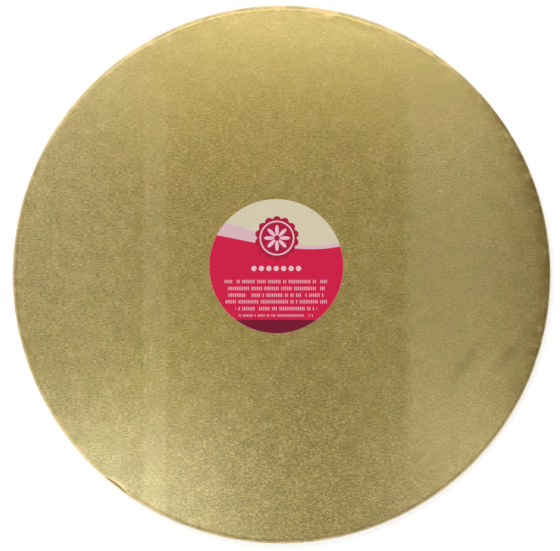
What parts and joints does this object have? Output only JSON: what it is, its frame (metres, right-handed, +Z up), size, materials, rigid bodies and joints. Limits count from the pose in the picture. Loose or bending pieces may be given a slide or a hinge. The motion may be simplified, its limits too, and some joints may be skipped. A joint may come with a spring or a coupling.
{
  "type": "cake board",
  "caption": "Thick round foil-covered cake board with a pleated hem, a corrugated core, a paper backing and a round label.",
  "frame": {"origin": "middle of the underside, where the board rests on its backing", "axes": "+Z up through the board, out of the foil face; +Y towards the top of the picture and of the label; +X to its right"},
  "size_m": [0.3052, 0.3052, 0.0121],
  "materials": {
    "gold_foil": "embossed metallised gold paper, satin",
    "kraft_board": "uncoated kraft, matt",
    "white_paper": "uncoated white paper, matt",
    "label_paper": "printed coated paper, semi-gloss"
  },
  "bodies": {
    "root": {"foil_wrap": "gold_foil", "core_ply_1": "kraft_board", "core_ply_2": "kraft_board", "backing_paper": "white_paper", "round_label": "label_paper"}
  },
  "joints": []
}
